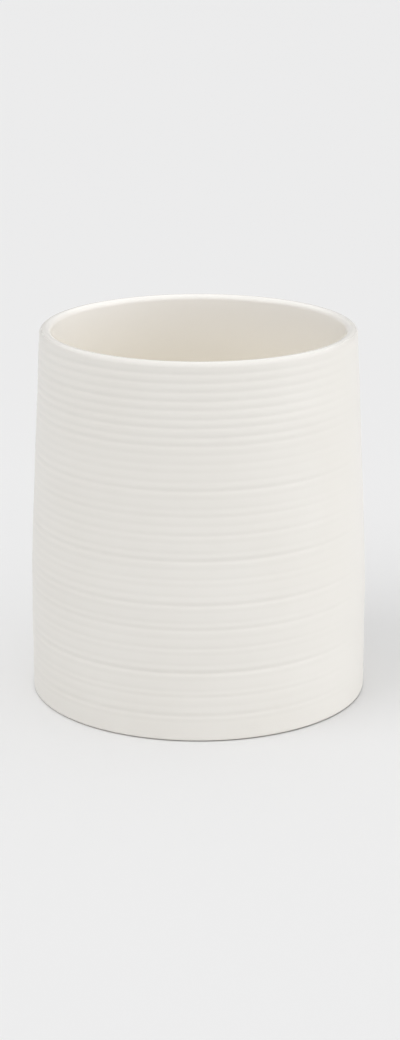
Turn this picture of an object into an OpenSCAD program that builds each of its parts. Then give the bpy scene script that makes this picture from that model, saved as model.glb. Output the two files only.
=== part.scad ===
// Pen holder cup: a fired clay cylinder that leans in a little towards its lip,
// glazed inside and out over fine throwing rings, on a thin round desk pad.
// Millimetres. Z is up, the cup's axis is the Z axis and it stands on z = 0.
// Every round piece is a section in the XZ plane, turned about Z.

/* [Cup] */
// Height from the desk to the top of the lip
cup_h = 100; // [80:1:130]
// Diameter of the wall's lower, upright part
base_d = 90.8; // [75:0.2:110]
// Diameter of the wall where the round lip begins
rim_d = 84.4; // [68:0.2:105]
// Thickness of the wall at the lip, with its glaze
wall_t = 3; // [2.4:0.1:6]
// Thickness of the wall down at the floor, with its glaze
low_wall_t = 5; // [3:0.1:8]
// Thickness of the floor, from the pad recess to the inside
floor_t = 4.6; // [3:0.1:10]
// Height at which the wall begins to lean in
lean_start_h = 22; // [10:1:40]
// Height over which the upright wall bends into its lean
lean_bend_h = 24; // [5:1:35]
// Radius of the corner between the inner wall and the floor
inner_corner_r = 6; // [2:0.5:15]

/* [Throwing rings] */
// Mean distance between one ring's groove and the next
ring_pitch = 2.3; // [1.8:0.1:4]
// Depth of the deepest groove
ring_depth = 0.15; // [0.05:0.01:0.35]
// Width of a groove where it meets the wall
ring_w = 1.5; // [0.8:0.1:1.7]
// How much of the plain band beside it a groove low on the wall may stray into
ring_stray = 0.6; // [0:0.05:0.9]
// Smooth band between the lip and the first groove
rim_band_h = 0.4; // [0.1:0.1:6]
// Smooth band between the foot's round edge and the last groove
foot_band_h = 1.8; // [0.5:0.1:8]

/* [Glaze] */
// Thickness of the glaze coat
glaze_t = 0.35; // [0.2:0.05:0.6]
// How far the glaze wraps down round the foot's edge, in degrees
glaze_wrap = 30; // [5:1:35]

/* [Foot and desk pad] */
// Radius of the foot's outer edge in the bare clay
foot_edge_r = 0.5; // [0.3:0.1:1.5]
// Width of the bare clay ring under the wall
foot_ring_w = 5; // [3:0.25:10]
// Bevel on the inner edge of the foot ring
foot_bevel = 0.5; // [0.2:0.1:0.8]
// Depth of the recess that holds the desk pad
recess_h = 1.2; // [0.8:0.1:2.5]
// How far the desk pad stands below the foot ring
pad_proud = 0.2; // [0.1:0.1:1]
// Gap between the desk pad's rim and the recess
pad_clear = 0.5; // [0.2:0.1:2]
// Bevel on the desk pad's lower rim
pad_bevel = 0.3; // [0.1:0.05:0.5]

/* [Hidden] */
$fn = 96;

lip_steps = 20;    // straight facets round the lip, from outside to inside
corner_steps = 10; // straight facets round the inner corner
edge_steps = 3;    // straight facets round each stretch of the foot's edge
bend_steps = 3;    // straight facets down the bend of the inner wall

base_r = base_d / 2;
rim_r = rim_d / 2;
lip_r = wall_t / 2;
lip_z = cup_h - lip_r;
foot_z = pad_proud;
edge_z = foot_z + foot_edge_r;
recess_r = base_r - glaze_t - foot_ring_w;
recess_top = foot_z + recess_h;
floor_z = recess_top + floor_t;

// Lean of the wall: none at first, then a parabola that runs into a straight line.
function lean_run(z) =
    let (x = z - lean_start_h)
    x < 0 ? 0 : x < lean_bend_h ? x * x / (2 * lean_bend_h) : x - lean_bend_h / 2;
lean_slope = (base_r - rim_r) / lean_run(lip_z);
function outer_r(z) = base_r - lean_slope * lean_run(z);
function wall_at(z) = wall_t + (low_wall_t - wall_t) * (lip_z - z) / (lip_z - floor_z);
function inner_r(z) = outer_r(z) - wall_at(z);

// Points along an arc of radius r about c, from angle a0 to a1.
function arc(c, r, a0, a1, steps) =
    [for (i = [0 : steps]) let (a = a0 + (a1 - a0) * i / steps) c + r * [cos(a), sin(a)]];

// Throwing rings, counted down from the lip. They are even near the lip, and further
// down they stray in height and change in depth, as a hand-fed tool leaves them.
stray_h = ring_stray * (ring_pitch - ring_w) / 2;
first_ring_z = lip_z - rim_band_h - ring_w / 2;
last_ring_z = edge_z + foot_band_h + ring_w / 2 + stray_h;
ring_count = 1 + floor((first_ring_z - last_ring_z) / ring_pitch);
stray_turn = 137.5; // degrees from one ring to the next, so that no pattern repeats
shallowest = 0.3;   // share of the full depth that the faintest groove keeps
function down(k) = k / (ring_count - 1);
function ring_z(k) = first_ring_z - k * ring_pitch + stray_h * down(k) * sin(k * stray_turn);
function ring_cut(k) =
    ring_depth * (1 - (1 - shallowest) * down(k) * (1 - cos(k * stray_turn)) / 2);

// One groove, from its lower edge to its upper edge, as [depth share, height] steps.
groove = [[0, -0.5], [1, -0.18], [1, 0.18], [0, 0.5]];
function groove_points(k, inset) =
    [for (g = groove) let (z = ring_z(k) + g[1] * ring_w)
        [outer_r(z) - g[0] * ring_cut(k) - inset, z]];

// Outline of the glazed part of the cup, from where the glaze ends on the foot's edge
// to the centre of the inner floor. inset 0 is the glaze's own face, and inset glaze_t
// is the face of the clay under it, so the two pieces meet face to face everywhere.
edge_c = [base_r - glaze_t - foot_edge_r, edge_z];
lip_c = [outer_r(lip_z) - lip_r, lip_z];
corner_z = floor_z + inner_corner_r;
corner_c = [inner_r(corner_z) - inner_corner_r, corner_z];
function foot_edge(inset) = arc(edge_c, foot_edge_r + glaze_t - inset, -glaze_wrap, 0, edge_steps);
function ringed_wall(inset) = [for (k = [ring_count - 1 : -1 : 0]) each groove_points(k, inset)];
function lip(inset) = arc(lip_c, lip_r - inset, 0, 180, lip_steps);
function inner_wall(inset) =
    [for (i = [bend_steps : -1 : 0]) let (z = lean_start_h + lean_bend_h * i / bend_steps)
        if (z > corner_z) [inner_r(z) + inset, z]];
function inner_corner(inset) = arc(corner_c, inner_corner_r + inset, 0, -90, corner_steps);
function outline(inset) = concat(
    foot_edge(inset), ringed_wall(inset), lip(inset),
    inner_wall(inset), inner_corner(inset), [[0, floor_z - inset]]);
function reversed(list) = [for (i = [len(list) - 1 : -1 : 0]) list[i]];

// Fired clay: wall, floor and bare foot ring in one piece, hollow under the floor.
module stoneware_body() {
    recess = [[0, recess_top], [recess_r, recess_top], [recess_r, foot_z + foot_bevel]];
    foot_flat_r = recess_r + foot_bevel;
    bare_edge = arc(edge_c, foot_edge_r, -90, -glaze_wrap, edge_steps);
    bare_foot = concat([[foot_flat_r, foot_z]], [for (i = [0 : edge_steps - 1]) bare_edge[i]]);
    color("Linen") rotate_extrude() polygon(concat(recess, bare_foot, outline(glaze_t)));
}

// Glaze: one thin coat over the outside, the lip and the inside.
module glaze_coat() {
    color("Ivory") rotate_extrude() polygon(concat(outline(0), reversed(outline(glaze_t))));
}

// Desk pad: a disc glued into the recess, a little thicker than the recess is deep.
module desk_pad() {
    pad_r = recess_r - pad_clear;
    half_section = [
        [0, 0], [pad_r - pad_bevel, 0], [pad_r, pad_bevel], [pad_r, recess_top], [0, recess_top]];
    color("DimGray") rotate_extrude() polygon(half_section);
}

stoneware_body();
glaze_coat();
desk_pad();
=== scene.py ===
"""Pen holder cup: white glazed stoneware with throwing rings, on a pale studio floor."""
import math

import bmesh
import bpy
import numpy as np
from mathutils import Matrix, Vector


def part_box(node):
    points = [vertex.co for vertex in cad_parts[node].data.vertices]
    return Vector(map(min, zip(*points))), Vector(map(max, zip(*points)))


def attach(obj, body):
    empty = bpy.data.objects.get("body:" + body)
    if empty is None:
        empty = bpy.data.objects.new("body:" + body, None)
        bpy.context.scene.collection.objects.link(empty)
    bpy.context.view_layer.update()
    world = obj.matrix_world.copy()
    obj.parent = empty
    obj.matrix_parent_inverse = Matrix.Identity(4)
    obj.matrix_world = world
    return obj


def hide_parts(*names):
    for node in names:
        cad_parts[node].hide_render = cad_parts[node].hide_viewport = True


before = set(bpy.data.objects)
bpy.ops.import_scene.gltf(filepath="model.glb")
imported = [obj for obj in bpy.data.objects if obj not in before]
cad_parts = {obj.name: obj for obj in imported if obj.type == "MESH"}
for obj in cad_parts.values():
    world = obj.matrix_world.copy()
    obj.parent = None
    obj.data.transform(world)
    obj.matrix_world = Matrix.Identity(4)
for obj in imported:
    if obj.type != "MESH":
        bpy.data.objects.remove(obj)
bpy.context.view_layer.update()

# ---------------------------------------------------------------- sizes, in millimetres
MM = 0.001


def box_mm(node):
    low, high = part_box(node)
    return np.array(low) / MM, np.array(high) / MM


glaze_low, glaze_high = box_mm("glaze_coat")
clay_low, clay_high = box_mm("stoneware_body")
pad_high = box_mm("desk_pad")[1]

# From the frame
CUP_H = glaze_high[2]
BASE_R = glaze_high[0]
GLAZE_T = glaze_high[2] - clay_high[2]
FOOT_Z = clay_low[2]
RECESS_TOP = pad_high[2]
PAD_R = pad_high[0]

# The part's own sizes
RIM_R = 42.2
WALL_T = 3.0          # at the lip
LOW_WALL_T = 5.0      # at the floor
FLOOR_T = 4.6
LEAN_START = 22.0
LEAN_BEND = 24.0
CORNER_R = 6.0
FOOT_EDGE_R = 0.5
FOOT_BEVEL = 0.5
GLAZE_WRAP = 30.0
PAD_CLEAR = 0.5
PAD_BEVEL = 0.3

LIP_R = WALL_T / 2
LIP_Z = CUP_H - LIP_R
FLOOR_Z = RECESS_TOP + FLOOR_T
EDGE_Z = FOOT_Z + FOOT_EDGE_R
RECESS_R = PAD_R + PAD_CLEAR

# ---------------------------------------------------------------- profile of the cup


def lean_run(z):
    x = np.asarray(z, float) - LEAN_START
    bend = np.clip(x, 0, LEAN_BEND) ** 2 / (2 * LEAN_BEND)
    return bend + np.clip(x - LEAN_BEND, 0, None)


LEAN_SLOPE = (BASE_R - RIM_R) / lean_run(LIP_Z)


def outer_r(z):
    return BASE_R - LEAN_SLOPE * lean_run(z)


def inner_r(z):
    return outer_r(z) - WALL_T - (LOW_WALL_T - WALL_T) * (LIP_Z - z) / (LIP_Z - FLOOR_Z)


def arc(centre, r, start, end, steps):
    """Rows of (radius, height) along an arc, angles in degrees."""
    a = np.radians(np.linspace(start, end, steps + 1))
    return np.stack([centre[0] + r * np.cos(a), centre[1] + r * np.sin(a)], 1)


def wall(z, inset, inside=False):
    r = inner_r(z) + inset if inside else outer_r(z) - inset
    return np.stack([r, z], 1)


EDGE_C = (BASE_R - GLAZE_T - FOOT_EDGE_R, EDGE_Z)
LIP_C = (float(outer_r(LIP_Z)) - LIP_R, LIP_Z)
CORNER_Z = FLOOR_Z + CORNER_R
CORNER_C = (float(inner_r(CORNER_Z)) - CORNER_R, CORNER_Z)


def cup_inside(inset, fine):
    """Rows from near the centre of the inner floor, up the inner wall, to the lip's inner side."""
    floor = np.linspace(0.06, 1, 3 + 5 * fine)[:-1] * CORNER_C[0]
    rows = [np.stack([floor, np.full_like(floor, FLOOR_Z - inset)], 1)]
    rows.append(arc(CORNER_C, CORNER_R + inset, -90, 0, 5 + 9 * fine))
    rows.append(wall(np.linspace(CORNER_Z, LIP_Z, 6 + 18 * fine)[1:-1], inset, inside=True))
    return np.concatenate(rows)


def lip(inset, fine):
    return arc(LIP_C, LIP_R - inset, 180, 0, 10 + 22 * fine)


def foot_edge(inset, start, end, steps):
    return arc(EDGE_C, FOOT_EDGE_R + GLAZE_T - inset, start, end, steps)


# ---------------------------------------------------------------- throwing rings
FRONT = math.radians(-90)   # the side that faces the camera
RING_PITCH = 2.3            # mm that the tool climbs in one turn
RING_STRAY = 0.40           # mm that a turn low on the wall strays from an even climb
RING_SWING = 137.5          # degrees of swing in stray and press from one turn to the next
RING_DEPTH = 0.22           # mm, under the tool's full press
RING_SIGMA = 0.42           # mm, half-breadth of a groove
TOP_TURN = 97.0             # mm up the front
LAST_TURN = 3.5             # mm up the front that the lowest turn stays above
TOP_FADE = 0.8              # mm above the top turn, where the spiral has run out
EVEN_FROM = 80.0            # mm; above this the tool pressed about evenly
EVEN_PRESS = 0.70           # share of the full press above it
EVEN_VARY = 0.15
FAINT_PRESS = 0.3           # share of the full press that the faintest turns below it keep
EASE_WAVES = 1.37           # times a turn that the tool's press eases off
EASE_SHARE = 0.4            # share of its press that it loses then
FILLED_SIDE = 75.0          # degrees right of the front, where the glaze ran thick
FILLED_SPREAD = 40.0        # degrees
FILLED_SHARE = 0.94         # share of a groove's depth that it filled there


def spiral_turns():
    """(height, press) of each turn of the spiral as it passes the front, from the foot up."""
    down = np.arange(int((TOP_TURN - LAST_TURN) / RING_PITCH), -1, -1)
    swing = down * math.radians(RING_SWING)
    height = TOP_TURN - down * RING_PITCH + RING_STRAY * down / down[0] * np.sin(swing)
    even = EVEN_PRESS + EVEN_VARY * np.cos(swing)
    uneven = FAINT_PRESS + (1 - FAINT_PRESS) * np.clip(np.cos(swing), 0, 1) ** 3   # few are hard
    press = np.where(height > EVEN_FROM, even, uneven)
    faint_ends = ([height[0] - RING_PITCH, 0.0], [TOP_TURN + TOP_FADE, 0.0])
    return np.vstack([faint_ends[0], np.stack([height, press], 1), faint_ends[1]])


def smooth_between(values, s):
    """Values at fractional places s in a list, on a smooth curve through the list."""
    n = len(values)
    k = np.clip(np.floor(s).astype(int), 0, n - 2)
    t = np.clip(s - k, 0, 1)
    p = [values[np.clip(k + i, 0, n - 1)] for i in (-1, 0, 1, 2)]
    return 0.5 * (2 * p[1] + (p[2] - p[0]) * t + (2 * p[0] - 5 * p[1] + 4 * p[2] - p[3]) * t ** 2
                  + (3 * p[1] - p[0] - 3 * p[2] + p[3]) * t ** 3)


def ring_cut(theta, z):
    """Depth of the throwing rings in mm, for each angle (columns) and height (rows)."""
    turns = spiral_turns()
    past_front = ((theta - FRONT) / (2 * math.pi)) % 1.0
    cut = np.zeros((len(z), len(theta)))
    for k in range(-1, len(turns)):
        s = k + past_front
        inside = (s >= 0) & (s <= len(turns) - 1)
        height = smooth_between(turns[:, 0], s)
        press = np.clip(smooth_between(turns[:, 1], s), 0, None) * inside
        press *= 1 - EASE_SHARE * (1 + np.sin(2 * math.pi * EASE_WAVES * s)) / 2
        away = (z[:, None] - height[None, :]) / RING_SIGMA
        cut += press[None, :] * np.exp(-0.5 * away ** 2)
    from_side = np.degrees(theta - FRONT) - FILLED_SIDE
    from_side = (from_side + 180) % 360 - 180
    open_share = 1 - FILLED_SHARE * np.exp(-(from_side / FILLED_SPREAD) ** 2)
    return RING_DEPTH * cut * open_share


def hand_waver(theta, z):
    """The slow unevenness of a hand-thrown wall, in mm."""
    t, h = theta[None, :], z[:, None]
    waver = 0.030 * np.sin(h / 4.1 + t + 0.7) + 0.022 * np.sin(h / 2.3 - t + 2.1)
    return waver + 0.035 * np.sin(2 * t + h / 31.0) + 0.020 * np.sin(3 * t - h / 19.0 + 1.3)


# ---------------------------------------------------------------- mesh code


def turned_piece(name, columns, rings, first, last, material, sharp=40):
    """A closed shell through rings of points (rows, columns, xyz), capped at two points on the axis."""
    rows = rings.shape[0]
    mesh = bpy.data.meshes.new(name)
    bm = bmesh.new()
    verts = [[bm.verts.new(Vector(p) * MM) for p in ring] for ring in rings]
    for a, b in zip(verts, verts[1:]):
        for j in range(columns):
            n = (j + 1) % columns
            bm.faces.new((a[j], a[n], b[n], b[j]))
    for ring, tip, turn in ((verts[0], first, 1), (verts[rows - 1], last, -1)):
        centre = bm.verts.new(Vector((0, 0, tip)) * MM)
        for j in range(columns):
            bm.faces.new([centre, ring[(j + 1) % columns], ring[j]][::turn])
    bmesh.ops.recalc_face_normals(bm, faces=bm.faces)
    bm.to_mesh(mesh)
    bm.free()
    mesh.shade_smooth()
    mesh.set_sharp_from_angle(angle=math.radians(sharp))
    mesh.materials.append(material)
    piece = bpy.data.objects.new(name, mesh)
    bpy.context.collection.objects.link(piece)
    return piece


def turned_rings(rows, theta, radius_change=None):
    """Rings of xyz points from (radius, height) rows; radius_change is (rows, columns) in mm."""
    r = np.repeat(rows[:, :1], len(theta), axis=1)
    if radius_change is not None:
        r = r + radius_change
    z = np.repeat(rows[:, 1:], len(theta), axis=1)
    return np.stack([r * np.cos(theta), r * np.sin(theta), z], 2)


def point_values(piece, name, values, at_tips):
    """Stores one number per point, for its material: values for the rings, one for the two tips."""
    layer = piece.data.attributes.new(name, "FLOAT", "POINT")
    layer.data.foreach_set("value", np.append(values.ravel(), [at_tips, at_tips]))


# ---------------------------------------------------------------- materials


class Nodes:
    """A material's node tree, with short calls for adding and joining nodes."""

    def __init__(self, name):
        self.material = bpy.data.materials.new(name)
        self.material.use_nodes = True
        self.tree = self.material.node_tree
        self.shader = self.tree.nodes["Principled BSDF"]

    def add(self, kind, inputs=(), **settings):
        node = self.tree.nodes.new("ShaderNode" + kind)
        for key, value in settings.items():
            setattr(node, key, value)
        for key, value in dict(inputs).items():
            self.put(node.inputs[key], value)
        return node

    def put(self, socket, value):
        if isinstance(value, bpy.types.NodeSocket):
            self.tree.links.new(value, socket)
        else:
            socket.default_value = value

    def noise(self, scale, detail=3.0, rough=0.5, stretch=(1, 1, 1)):
        place = self.add("TexCoord").outputs["Object"]
        moved = self.add("Mapping", {"Vector": place, "Scale": stretch}).outputs["Vector"]
        inputs = {"Vector": moved, "Scale": scale, "Detail": detail, "Roughness": rough}
        return self.add("TexNoise", inputs).outputs["Fac"]

    def ramp(self, fac, low, high, to_low=0.0, to_high=1.0):
        inputs = {"Value": fac, "From Min": low, "From Max": high, "To Min": to_low, "To Max": to_high}
        return self.add("MapRange", inputs).outputs["Result"]

    def mix(self, fac, a, b):
        node = self.add("Mix", data_type="RGBA")
        for key, value in ((0, fac), (6, a), (7, b)):
            self.put(node.inputs[key], value)
        return node.outputs[2]

    def bump(self, height, strength, distance, under=None):
        inputs = {"Height": height, "Strength": strength, "Distance": distance}
        if under is not None:
            inputs["Normal"] = under
        return self.add("Bump", inputs).outputs["Normal"]

    def set(self, **sockets):
        for key, value in sockets.items():
            self.put(self.shader.inputs[key.replace("_", " ")], value)
        return self.material


WALL_DARK = (0.872, 0.848, 0.800, 1)
WALL_LIGHT = (0.888, 0.866, 0.822, 1)
POOLED_TONE = (0.845, 0.822, 0.772, 1)      # thick glaze in the rings
PAINTED_SHADE_LIP_TOP = (0.750, 0.730, 0.696, 1)       # painted shade on the top of the lip, darkened against the strong light from above
# painted light inside the cup: the lining is painted lighter than the outer wall, whitest near the rim
# and a warmer, darker cream lower down, for light falling in and bouncing inside
PAINTED_LIGHT_INSIDE_TOP = (0.985, 0.965, 0.938, 1)
PAINTED_LIGHT_INSIDE_LOW = (0.938, 0.898, 0.820, 1)


def glaze_material():
    m = Nodes("warm_white_glaze")
    pooled = m.add("Attribute", attribute_name="pooled").outputs["Fac"]
    cloud = m.ramp(m.noise(38, 2.0), 0.3, 0.7)
    tone = m.mix(cloud, WALL_DARK, WALL_LIGHT)
    tone = m.mix(m.ramp(pooled, 0.0, 1.0, 0.0, 0.35), tone, POOLED_TONE)
    glossy = m.add("Attribute", attribute_name="glossy").outputs["Fac"]
    # painted shade: the top of the lip gets a darker tone, holding back its brightness under the light
    # from above
    lip_top_shade = m.add("Attribute", attribute_name="lip_top_shade").outputs["Fac"]
    tone = m.mix(lip_top_shade, tone, PAINTED_SHADE_LIP_TOP)
    # painted light inside: the lining gets a lighter tone, whitest near the rim and darker cream deeper
    # down
    inside_light_mask = m.add("Attribute", attribute_name="inside_light_mask").outputs["Fac"]
    deep = m.add("Attribute", attribute_name="deep").outputs["Fac"]
    tone = m.mix(inside_light_mask, tone, m.mix(deep, PAINTED_LIGHT_INSIDE_TOP, PAINTED_LIGHT_INSIDE_LOW))
    streaks = m.noise(900, 2.0, stretch=(0.02, 0.02, 1))
    peel = m.noise(420, 1.0)
    normal = m.bump(streaks, 0.25, 0.00004)
    normal = m.bump(peel, 0.2, 0.00003, normal)
    cloudy = m.ramp(m.noise(150, 3.0), 0.3, 0.7, 0.34, 0.42)
    rough = m.add("Math", {0: cloudy, 1: m.ramp(glossy, 0, 1, 1, 0.5)}, operation="MULTIPLY")
    m.shader.inputs["Specular IOR Level"].default_value = 0.34
    return m.set(Base_Color=tone, Roughness=rough.outputs[0], IOR=1.5, Normal=normal)


def clay_material():
    m = Nodes("bare_stoneware")
    grain = m.noise(1500, 4.0, 0.6)
    cloud = m.noise(90, 3.0)
    tone = m.mix(m.ramp(cloud, 0.3, 0.7), (0.60, 0.53, 0.43, 1), (0.68, 0.62, 0.53, 1))
    tone = m.mix(m.ramp(grain, 0.62, 0.74), tone, (0.42, 0.35, 0.27, 1))
    rough = m.ramp(grain, 0.3, 0.7, 0.78, 0.92)
    return m.set(Base_Color=tone, Roughness=rough, Normal=m.bump(grain, 0.7, 0.00012))


def rubber_material():
    m = Nodes("grey_rubber_sheet")
    pores = m.noise(2200, 3.0, 0.6)
    dust = m.noise(60, 3.0)
    tone = m.mix(m.ramp(dust, 0.35, 0.7), (0.045, 0.043, 0.04, 1), (0.07, 0.067, 0.062, 1))
    rough = m.ramp(pores, 0.3, 0.7, 0.62, 0.8)
    return m.set(Base_Color=tone, Roughness=rough, Normal=m.bump(pores, 0.5, 0.00008))


def floor_material():
    m = Nodes("pale_studio_floor")
    tone = m.mix(m.noise(3.0, 2.0), (0.862, 0.862, 0.864, 1), (0.868, 0.868, 0.87, 1))
    m.shader.inputs["Specular IOR Level"].default_value = 0.0
    return m.set(Base_Color=tone, Roughness=0.9)


# ---------------------------------------------------------------- pieces of the cup
COLUMNS = 176
OUTER_ROWS = 430
PAINTED_LIGHT_FADE_DEPTH = 18.0          # mm below the top, over which the painted light on the lining fades from white to a darker, warmer cream
theta = np.arange(COLUMNS) * 2 * math.pi / COLUMNS


def make_glaze():
    outer_z = np.linspace(LIP_Z, EDGE_Z, OUTER_ROWS + 2)[1:-1]
    seen = [cup_inside(0, 1), lip(0, 1), wall(outer_z, 0), foot_edge(0, 0, -GLAZE_WRAP, 8)]
    hidden = [foot_edge(GLAZE_T, -GLAZE_WRAP, 0, 3),
              wall(np.linspace(EDGE_Z, LIP_Z, 24)[1:-1], GLAZE_T), lip(GLAZE_T, 0)[::-1],
              cup_inside(GLAZE_T, 0)[::-1]]
    rows = np.concatenate(seen + hidden)
    lip_at = len(seen[0])
    wall_at = lip_at + len(seen[1])
    on_lip, on_wall = slice(lip_at, wall_at), slice(wall_at, wall_at + OUTER_ROWS)
    fade = np.clip((LIP_Z - outer_z) / 2, 0, 1) * np.clip((outer_z - EDGE_Z) / 2, 0, 1)
    cut = ring_cut(theta, outer_z)
    change = np.zeros((len(rows), COLUMNS))
    change[on_wall] = hand_waver(theta, outer_z) * fade[:, None] - cut
    piece = turned_piece("glaze", COLUMNS, turned_rings(rows, theta, change), FLOOR_Z,
                         FLOOR_Z - GLAZE_T, glaze_material())
    pooled = np.zeros(change.shape)
    pooled[on_wall] = cut / RING_DEPTH
    point_values(piece, "pooled", pooled, 0.0)
    lip_top_shade, inside_light_mask, glossy = np.zeros((3, len(rows)))
    inward = np.linspace(1, -1, len(seen[1]))   # over the lip, from its inner side to its outer
    # mask of the painted shade on the lip: 1 at the top of the lip, falling to 0 at its inner and outer
    # sides
    lip_top_shade[on_lip] = (rows[on_lip, 1] - LIP_Z) / LIP_R
    # mask of the painted light inside: 1 over the inside and the inner half of the lip
    inside_light_mask[:lip_at], inside_light_mask[on_lip] = 1, np.clip(inward, 0, 1)
    glossy[:lip_at], glossy[on_lip] = 1, np.clip(1 + inward, 0, 1)
    # fade of the painted light inside: 0 at the top, 1 at the fade depth and below
    deep = np.clip((CUP_H - rows[:, 1]) / PAINTED_LIGHT_FADE_DEPTH, 0, 1)
    for name, values in (("lip_top_shade", lip_top_shade), ("inside_light_mask", inside_light_mask), ("glossy", glossy), ("deep", deep)):
        point_values(piece, name, np.repeat(values, COLUMNS), values[0])
    return piece


def make_clay():
    inset = GLAZE_T + 0.03
    foot_r = np.linspace(EDGE_C[0], RECESS_R + FOOT_BEVEL, 30)
    ripple = 0.02 * (1 - np.cos((foot_r - foot_r[0]) * 2 * math.pi / 0.9))
    rows = np.concatenate([
        cup_inside(inset, 0), lip(inset, 0), wall(np.linspace(LIP_Z, EDGE_Z, 24)[1:-1], inset),
        arc(EDGE_C, FOOT_EDGE_R, 0, -90, 12)[:-1],
        np.stack([foot_r, FOOT_Z + ripple], 1),
        arc((RECESS_R + FOOT_BEVEL, FOOT_Z + FOOT_BEVEL), FOOT_BEVEL, -90, -180, 6)[1:],
        np.stack([np.full(4, RECESS_R), np.linspace(FOOT_Z + FOOT_BEVEL, RECESS_TOP, 5)[1:]], 1),
        np.stack([np.linspace(RECESS_R, 4, 8)[1:], np.full(7, RECESS_TOP)], 1)])
    return turned_piece("clay_body", COLUMNS, turned_rings(rows, theta), FLOOR_Z - inset,
                        RECESS_TOP, clay_material())


def make_pad():
    rim = arc((PAD_R - PAD_BEVEL, PAD_BEVEL), PAD_BEVEL, 0, -90, 6)
    flat = np.linspace(PAD_R - PAD_BEVEL, 3, 14)[1:]
    top = RECESS_TOP - 0.01
    rows = np.concatenate([
        np.stack([np.linspace(3, PAD_R, 8), np.full(8, top)], 1),
        np.stack([np.full(3, PAD_R), np.linspace(top, PAD_BEVEL, 4)[1:]], 1)[:-1],
        rim, np.stack([flat, np.zeros_like(flat)], 1)])
    return turned_piece("desk_pad_sheet", COLUMNS, turned_rings(rows, theta), top, 0.0,
                        rubber_material())


cup = bpy.data.collections.new("cup")
for make, node in ((make_glaze, "glaze_coat"), (make_clay, "stoneware_body"), (make_pad, "desk_pad")):
    piece = make()
    cup.objects.link(piece)
    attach(piece, "root")
    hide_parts(node)

# ---------------------------------------------------------------- studio
FLOOR_RADIUS = 6.0
floor_mesh = bpy.data.meshes.new("studio_floor")
bm = bmesh.new()
bmesh.ops.create_circle(bm, cap_ends=True, radius=FLOOR_RADIUS, segments=96)
bm.to_mesh(floor_mesh)
bm.free()
floor_mesh.materials.append(floor_material())
floor = bpy.data.objects.new("studio_floor", floor_mesh)
bpy.context.collection.objects.link(floor)


def point_at(obj, place, target):
    obj.location = place
    obj.rotation_mode = "QUATERNION"
    obj.rotation_quaternion = (Vector(target) - Vector(place)).to_track_quat("-Z", "Y")


def broad_light(name, turn, height, spread, power, falls_on=None):
    """A far light, so many degrees right of the camera and up, and so many across."""
    light = bpy.data.lights.new(name, "SUN")
    light.energy, light.angle = power, math.radians(spread)
    lamp = bpy.data.objects.new(name, light)
    lamp.light_linking.receiver_collection = falls_on
    bpy.context.collection.objects.link(lamp)
    turn, height = math.radians(turn), math.radians(height)
    towards = (math.sin(turn) * math.cos(height), -math.cos(turn) * math.cos(height), math.sin(height))
    point_at(lamp, towards, (0, 0, 0))


broad_light("overhead", 0, 88, 120, 2.60)
broad_light("key_left", -60, 40, 50, 0.64)
broad_light("fill_right", 60, 50, 120, 0.44, falls_on=cup)
broad_light("low_front_right", 55, 14, 50, 0.46, falls_on=cup)
broad_light("low_side_right", 90, 14, 50, 0.56, falls_on=cup)

BACKDROP = 0.84             # brightness of the empty backdrop above the floor's edge
ROOM = 0.4                  # added brightness of the pale room in the glaze's reflections
BOUNCE = 0.01               # brightness of the surroundings for every ray

world = bpy.data.worlds.new("studio")
world.use_nodes = True
tree = world.node_tree
rays = tree.nodes.new("ShaderNodeLightPath").outputs


def world_step(kind, level):
    """A node that adds so much brightness for one kind of ray."""
    step = tree.nodes.new("ShaderNodeMath")
    step.operation = "MULTIPLY_ADD"
    tree.links.new(rays[kind], step.inputs[0])
    step.inputs[1].default_value = level
    return step


reflected = world_step("Is Glossy Ray", ROOM)
reflected.inputs[2].default_value = BOUNCE
seen = world_step("Is Camera Ray", BACKDROP)
tree.links.new(reflected.outputs[0], seen.inputs[2])
tree.links.new(seen.outputs[0], tree.nodes["Background"].inputs["Strength"])
tree.nodes["Background"].inputs["Color"].default_value = (1, 1, 1, 1)
bpy.context.scene.world = world

# ---------------------------------------------------------------- camera
CAMERA_LENS = 85.0          # mm, on a 36 mm sensor along the picture's long side
CAMERA_PITCH = 17.2         # degrees that the camera looks down
CAMERA_AWAY = 666.3         # mm from the camera to the point that it looks at
AIM = (0.4, 0.0, 46.15)     # mm

camera_data = bpy.data.cameras.new("camera")
camera_data.lens = CAMERA_LENS
camera_data.sensor_width = 36.0
camera = bpy.data.objects.new("camera", camera_data)
bpy.context.collection.objects.link(camera)
pitch = math.radians(CAMERA_PITCH)
aim = Vector(AIM) * MM
back = Vector((0, -math.cos(pitch), math.sin(pitch))) * CAMERA_AWAY * MM
point_at(camera, aim + back, aim)
bpy.context.scene.camera = camera
bpy.context.scene.view_settings.view_transform = "Standard"
